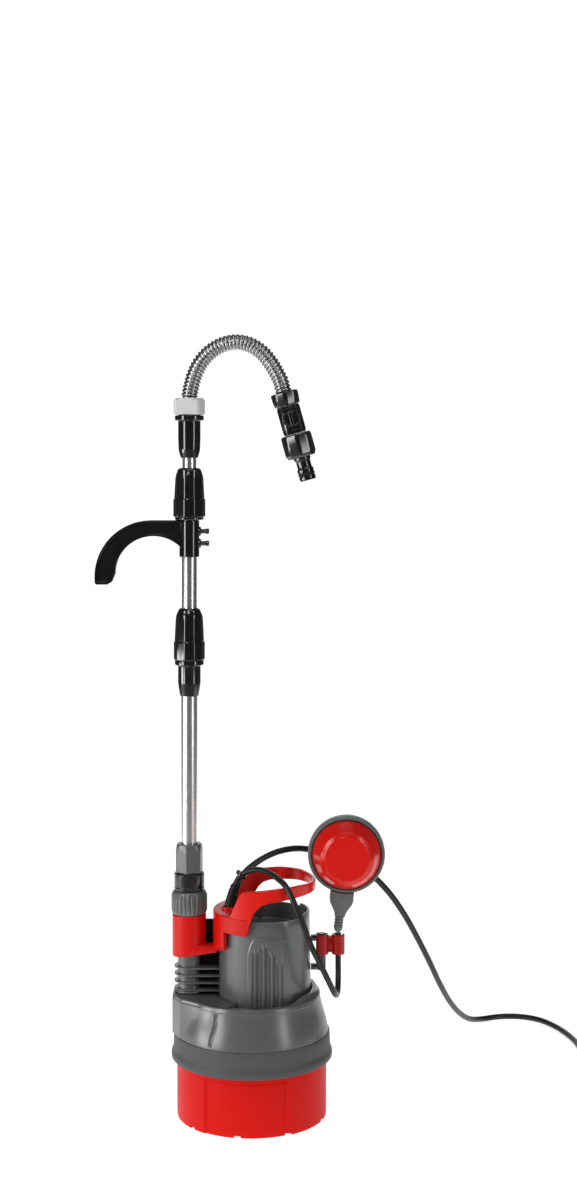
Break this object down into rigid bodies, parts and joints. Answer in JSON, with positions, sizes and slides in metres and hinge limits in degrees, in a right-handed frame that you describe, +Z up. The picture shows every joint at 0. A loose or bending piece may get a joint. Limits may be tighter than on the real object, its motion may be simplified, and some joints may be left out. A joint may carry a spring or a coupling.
{
  "type": "submersible rain-barrel pump",
  "caption": "Submersible barrel pump: strainer base, grey housing, red carry handle, telescopic aluminium riser with rim hook, corrugated hose with shut-off valve, and a float switch.",
  "frame": {"origin": "centre of the base's underside, on the floor the pump stands on", "axes": "+Z up along the riser; +X from the outlet and riser towards the float clip; -Y is the front, where the float's domed face looks"},
  "size_m": [0.6933, 0.3889, 0.8069],
  "materials": {
    "red_plastic": "satin moulded",
    "grey_plastic": "fine satin moulded",
    "light_grey_plastic": "satin moulded",
    "black_plastic": "glossy moulded",
    "aluminium_tube": "polished drawn tube",
    "steel": "bright stainless",
    "motor_iron": "laminated",
    "copper_winding": "enamelled wire",
    "seal_rubber": "moulded",
    "cable_rubber": "smooth jacket"
  },
  "bodies": {
    "pump": {"base_strainer": "red_plastic", "strainer_plate": "black_plastic", "suction_cover": "black_plastic", "base_screw_1": "steel", "base_screw_2": "steel", "base_screw_3": "steel", "lower_housing": "grey_plastic", "upper_housing": "grey_plastic", "housing_oring": "seal_rubber", "shaft_seal": "seal_rubber", "motor_can": "steel", "stator_core": "motor_iron", "stator_winding": "copper_winding", "upper_bearing": "steel", "lower_bearing": "steel", "run_capacitor": "light_grey_plastic", "outlet_pipe": "grey_plastic", "outlet_cover": "red_plastic", "carry_handle": "red_plastic", "cable_gland": "seal_rubber", "cable_tie": "black_plastic", "float_clip_rail": "black_plastic", "float_lead": "cable_rubber", "mains_cord": "cable_rubber", "cord_coil": "cable_rubber", "mains_plug": "cable_rubber", "riser_adapter": "black_plastic", "lower_tube": "aluminium_tube", "lower_sleeve": "black_plastic", "lower_collet": "light_grey_plastic"},
    "rotor": {"rotor_core": "motor_iron", "motor_shaft": "steel", "impeller": "black_plastic", "impeller_nut": "steel"},
    "union_nut": {"union_nut": "grey_plastic"},
    "riser_clamp_nut": {"riser_clamp_nut": "grey_plastic"},
    "lower_clamp_nut": {"lower_clamp_nut": "black_plastic"},
    "middle_tube": {"middle_tube": "aluminium_tube", "middle_sleeve": "black_plastic", "middle_collet": "light_grey_plastic"},
    "middle_clamp_nut": {"middle_clamp_nut": "black_plastic"},
    "hook": {"hook_clamp": "black_plastic", "hook_screw_upper": "steel", "hook_screw_lower": "steel"},
    "upper_tube": {"upper_tube": "aluminium_tube", "top_sleeve": "black_plastic", "hose_seal": "seal_rubber"},
    "hose_nut": {"hose_nut": "light_grey_plastic"},
    "hose": {"flex_hose": "steel", "hose_end_cap": "black_plastic", "valve_body": "black_plastic", "outlet_nut": "black_plastic", "quick_nipple": "black_plastic", "nipple_oring": "seal_rubber"},
    "valve_knob": {"valve_knob": "black_plastic"},
    "float_clip": {"float_clip": "red_plastic"},
    "float": {"float_front": "red_plastic", "float_rear": "grey_plastic", "float_ball": "steel", "float_boot": "grey_plastic"}
  },
  "joints": [
    {"name": "rotor_spin", "type": "hinge", "parent": "pump", "child": "rotor", "pos_m": [0.0133, 0, 0.1], "axis": [0, 0, 1], "continuous": true},
    {"name": "union_nut_turn", "type": "hinge", "parent": "pump", "child": "union_nut", "pos_m": [-0.065, 0, 0.3], "axis": [0, 0, 1], "range_deg": [0, 180]},
    {"name": "riser_clamp_nut_turn", "type": "hinge", "parent": "pump", "child": "riser_clamp_nut", "pos_m": [-0.065, 0, 0.3], "axis": [0, 0, 1], "range_deg": [0, 180]},
    {"name": "lower_clamp_nut_turn", "type": "hinge", "parent": "pump", "child": "lower_clamp_nut", "pos_m": [-0.065, 0, 0.3], "axis": [0, 0, 1], "range_deg": [0, 180]},
    {"name": "middle_tube_slide", "type": "slide", "parent": "pump", "child": "middle_tube", "axis": [0, 0, 1], "range_m": [-0.025, 0.15]},
    {"name": "middle_clamp_nut_turn", "type": "hinge", "parent": "middle_tube", "child": "middle_clamp_nut", "pos_m": [-0.065, 0, 0.3], "axis": [0, 0, 1], "range_deg": [0, 180]},
    {"name": "hook_slide", "type": "slide", "parent": "middle_tube", "child": "hook", "axis": [0, 0, 1], "range_m": [-0.025, 0]},
    {"name": "upper_tube_slide", "type": "slide", "parent": "middle_tube", "child": "upper_tube", "axis": [0, 0, 1], "range_m": [-0.009, 0.2]},
    {"name": "hose_nut_turn", "type": "hinge", "parent": "upper_tube", "child": "hose_nut", "pos_m": [-0.065, 0, 0.3], "axis": [0, 0, 1], "range_deg": [0, 180]},
    {"name": "hose_swivel", "type": "hinge", "parent": "upper_tube", "child": "hose", "pos_m": [-0.065, 0, 0.3], "axis": [0, 0, 1], "range_deg": [-170, 170]},
    {"name": "valve_knob_turn", "type": "hinge", "parent": "hose", "child": "valve_knob", "pos_m": [0.0408, 0, 0.71907], "axis": [0, 1, 0], "range_deg": [0, 90]},
    {"name": "float_clip_slide", "type": "slide", "parent": "pump", "child": "float_clip", "axis": [0, 0, 1], "range_m": [-0.008, 0.0015]},
    {"name": "float_swing", "type": "hinge", "parent": "pump", "child": "float", "pos_m": [0.0896, 0, 0.191], "axis": [0, 1, 0], "range_deg": [0, 90]}
  ]
}
